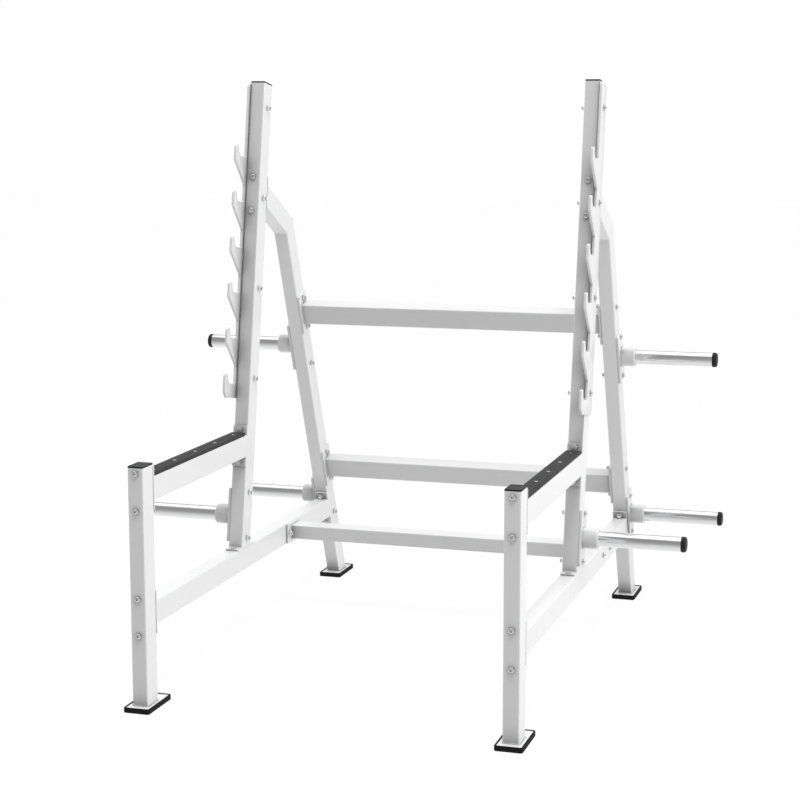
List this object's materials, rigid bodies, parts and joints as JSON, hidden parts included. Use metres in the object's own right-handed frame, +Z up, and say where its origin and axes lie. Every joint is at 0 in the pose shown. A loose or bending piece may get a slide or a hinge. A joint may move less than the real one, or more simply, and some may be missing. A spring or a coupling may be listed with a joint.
{
  "type": "squat rack",
  "caption": "Free-standing squat rack: leaning uprights with laser-cut bar hooks, safety rails on short front posts, bent rear braces, cross members and plate storage horns.",
  "frame": {"origin": "on the floor, at the middle of the bounding box in X and Y", "axes": "+X to the right as the lifter faces the rack, +Y to the back of the rack, +Z up"},
  "size_m": [1.896, 1.9226, 1.9048],
  "materials": {
    "white_powder_coat": "smooth gloss powder coat",
    "black_plastic": "satin moulded",
    "black_rubber": "matt moulded",
    "wear_plastic": "fine texture",
    "chrome": "polished",
    "zinc_steel": "bright zinc plate"
  },
  "bodies": {
    "root": {"left_front_post": "white_powder_coat", "left_safety_rail": "white_powder_coat", "left_lower_side_rail": "white_powder_coat", "left_upright": "white_powder_coat", "left_hook_plate": "white_powder_coat", "left_rear_brace": "white_powder_coat", "left_front_post_cap": "black_plastic", "left_upright_cap": "black_plastic", "left_front_foot_pad": "black_rubber", "left_rear_foot_pad": "black_rubber", "left_safety_rail_wear_strip": "wear_plastic", "left_front_horn_bracket": "white_powder_coat", "left_front_horn_sleeve": "chrome", "left_front_horn_cap": "black_plastic", "left_upper_horn_bracket": "white_powder_coat", "left_upper_horn_sleeve": "chrome", "left_upper_horn_cap": "black_plastic", "left_lower_horn_bracket": "white_powder_coat", "left_lower_horn_sleeve": "chrome", "left_lower_horn_cap": "black_plastic", "left_hook_plate_bolt_1": "zinc_steel", "left_hook_plate_bolt_2": "zinc_steel", "left_hook_plate_bolt_3": "zinc_steel", "left_hook_plate_bolt_4": "zinc_steel", "left_brace_joint_bolt_1": "zinc_steel", "left_brace_joint_bolt_2": "zinc_steel", "left_safety_rail_bolt_1": "zinc_steel", "left_safety_rail_bolt_2": "zinc_steel", "right_front_post": "white_powder_coat", "right_safety_rail": "white_powder_coat", "right_lower_side_rail": "white_powder_coat", "right_upright": "white_powder_coat", "right_hook_plate": "white_powder_coat", "right_rear_brace": "white_powder_coat", "right_front_post_cap": "black_plastic", "right_upright_cap": "black_plastic", "right_front_foot_pad": "black_rubber", "right_rear_foot_pad": "black_rubber", "right_safety_rail_wear_strip": "wear_plastic", "right_front_horn_bracket": "white_powder_coat", "right_front_horn_sleeve": "chrome", "right_front_horn_cap": "black_plastic", "right_upper_horn_bracket": "white_powder_coat", "right_upper_horn_sleeve": "chrome", "right_upper_horn_cap": "black_plastic", "right_lower_horn_bracket": "white_powder_coat", "right_lower_horn_sleeve": "chrome", "right_lower_horn_cap": "black_plastic", "right_hook_plate_bolt_1": "zinc_steel", "right_hook_plate_bolt_2": "zinc_steel", "right_hook_plate_bolt_3": "zinc_steel", "right_hook_plate_bolt_4": "zinc_steel", "right_brace_joint_bolt_1": "zinc_steel", "right_brace_joint_bolt_2": "zinc_steel", "right_safety_rail_bolt_1": "zinc_steel", "right_safety_rail_bolt_2": "zinc_steel", "upper_cross_member": "white_powder_coat", "middle_cross_member": "white_powder_coat", "lower_cross_member": "white_powder_coat"}
  },
  "joints": []
}
